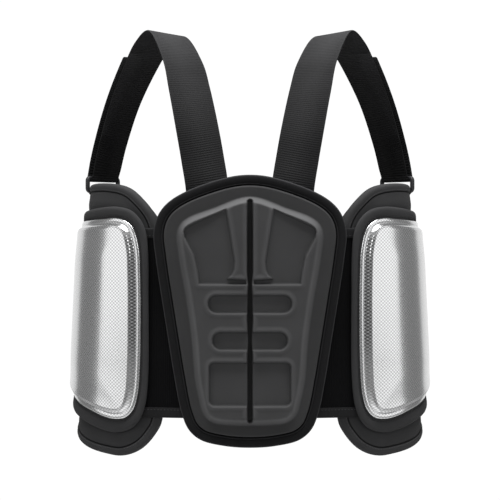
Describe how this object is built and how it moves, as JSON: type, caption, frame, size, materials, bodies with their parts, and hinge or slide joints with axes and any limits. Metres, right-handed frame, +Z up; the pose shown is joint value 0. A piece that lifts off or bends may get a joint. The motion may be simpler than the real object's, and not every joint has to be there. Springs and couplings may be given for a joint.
{
  "type": "rib protector",
  "caption": "Padded rib protector as worn: moulded chest pad, soft side pads with hard woven shells, a belt round the body and two webbing shoulder straps.",
  "frame": {"origin": "midway between the undersides of the two shoulder straps where they cross the shoulders", "axes": "+Z up, -Y the way the chest faces, +X the picture's right; left in the node names is -X"},
  "size_m": [0.3588, 0.2631, 0.4181],
  "materials": {
    "binding_fabric": "black laminated knit and folded tape, matte",
    "pad_fabric": "black laminated knit over soft foam, matte",
    "moulded_foam": "charcoal fabric pressed over dense foam, matte",
    "belt_fabric": "black elastic loop fabric, upright grain, matte",
    "silver_weave": "silvery woven composite under a glossy clear coat",
    "webbing": "black ribbed webbing with a slight sheen",
    "ring_plastic": "dark grey moulded plastic, satin"
  },
  "bodies": {
    "root": {"chest_base_pad": "binding_fabric", "chest_moulding": "moulded_foam", "belt": "belt_fabric", "belt_binding_top": "binding_fabric", "belt_binding_bottom": "binding_fabric", "side_pad_left": "pad_fabric", "side_pad_right": "pad_fabric", "shell_pad_left": "pad_fabric", "shell_pad_right": "pad_fabric", "side_shell_left": "silver_weave", "side_shell_right": "silver_weave", "shoulder_strap_left": "webbing", "shoulder_strap_right": "webbing", "strap_ring_left": "ring_plastic", "strap_ring_right": "ring_plastic", "ring_tab_left": "webbing", "ring_tab_right": "webbing"}
  },
  "joints": []
}
